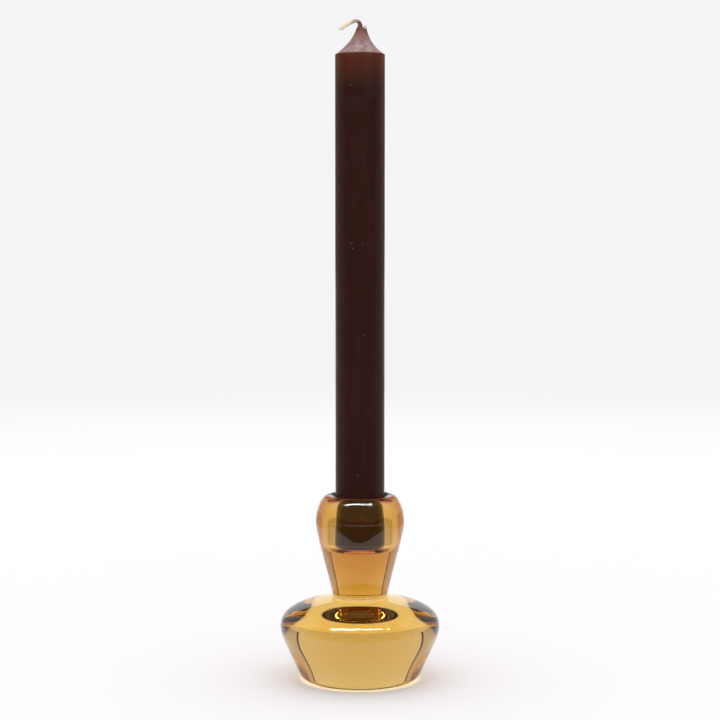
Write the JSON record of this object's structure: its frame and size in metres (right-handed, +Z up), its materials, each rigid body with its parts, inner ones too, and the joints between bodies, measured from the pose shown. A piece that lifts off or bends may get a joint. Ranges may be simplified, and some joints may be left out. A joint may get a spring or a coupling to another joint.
{
  "type": "glass candlestick",
  "caption": "Low glass candlestick with a round belly, narrow waist and tulip-shaped socket, holding a straight dinner candle that lifts out.",
  "frame": {"origin": "middle of the underside, on the surface that the candlestick stands on", "axes": "+Z up along the axis of the glass and the candle, +Y from the viewer towards the back, -X the side that the end of the wick droops to"},
  "size_m": [0.0716, 0.0716, 0.2937],
  "materials": {
    "glass_base": "clear, pale honey-coloured solid glass, fire-polished",
    "glass_cup": "clear, deep amber solid glass, fire-polished",
    "wax": "dark brown dyed wax, satin, with a faint bloom",
    "wick": "braided undyed cotton, stiffened with wax"
  },
  "bodies": {
    "glass": {"glass_base": "glass_base", "glass_cup": "glass_cup"},
    "candle": {"candle_wax": "wax", "candle_wick": "wick"}
  },
  "joints": [
    {"name": "candle_lift", "type": "slide", "parent": "glass", "child": "candle", "axis": [0, 0, 1], "range_m": [0, 0.04]}
  ]
}
